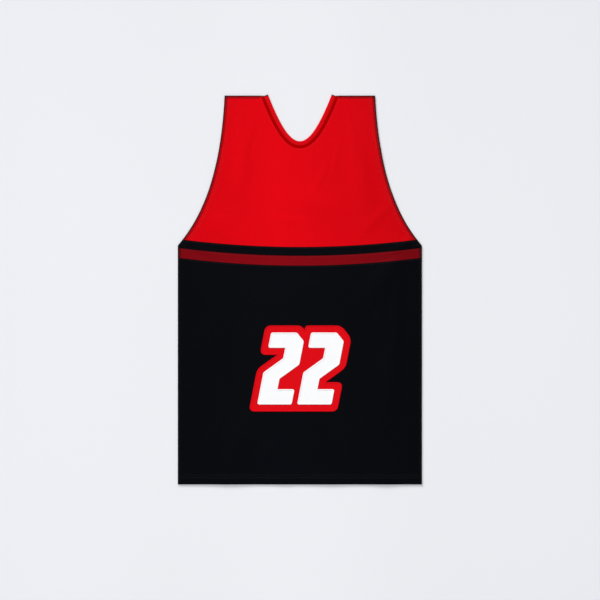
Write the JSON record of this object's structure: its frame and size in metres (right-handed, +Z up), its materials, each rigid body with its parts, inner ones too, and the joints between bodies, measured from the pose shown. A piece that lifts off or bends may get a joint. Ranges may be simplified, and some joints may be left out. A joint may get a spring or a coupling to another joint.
{
  "type": "lacrosse pinnie",
  "caption": "Sleeveless practice shirt laid flat, front up: red yoke, curved chest bands, black body, V-like neck with band and tape, and plain block numerals.",
  "frame": {"origin": "the middle of the laid-out shirt's footprint, on the surface that it lies on", "axes": "+X across the chest, +Y from the hem to the neck, +Z up out of the front"},
  "size_m": [0.48, 0.7674, 0.0059],
  "materials": {
    "red_knit": "smooth close-knit polyester, soft sheen",
    "black_knit": "smooth close-knit polyester, deep black",
    "dark_red_knit": "smooth close-knit polyester, dark red",
    "red_rib": "fine rib knit, folded",
    "dark_red_tape": "flat woven tape, dark red",
    "red_twill": "tackle twill, satin",
    "white_twill": "tackle twill, satin"
  },
  "bodies": {
    "root": {"front_yoke": "red_knit", "back_yoke": "red_knit", "front_chest_band": "black_knit", "back_chest_band": "black_knit", "front_stripe": "dark_red_knit", "back_stripe": "dark_red_knit", "front_body": "black_knit", "back_body": "black_knit", "neckband": "red_rib", "neck_tape": "dark_red_tape", "number_backing": "red_twill", "numeral_left": "white_twill", "numeral_right": "white_twill"}
  },
  "joints": []
}
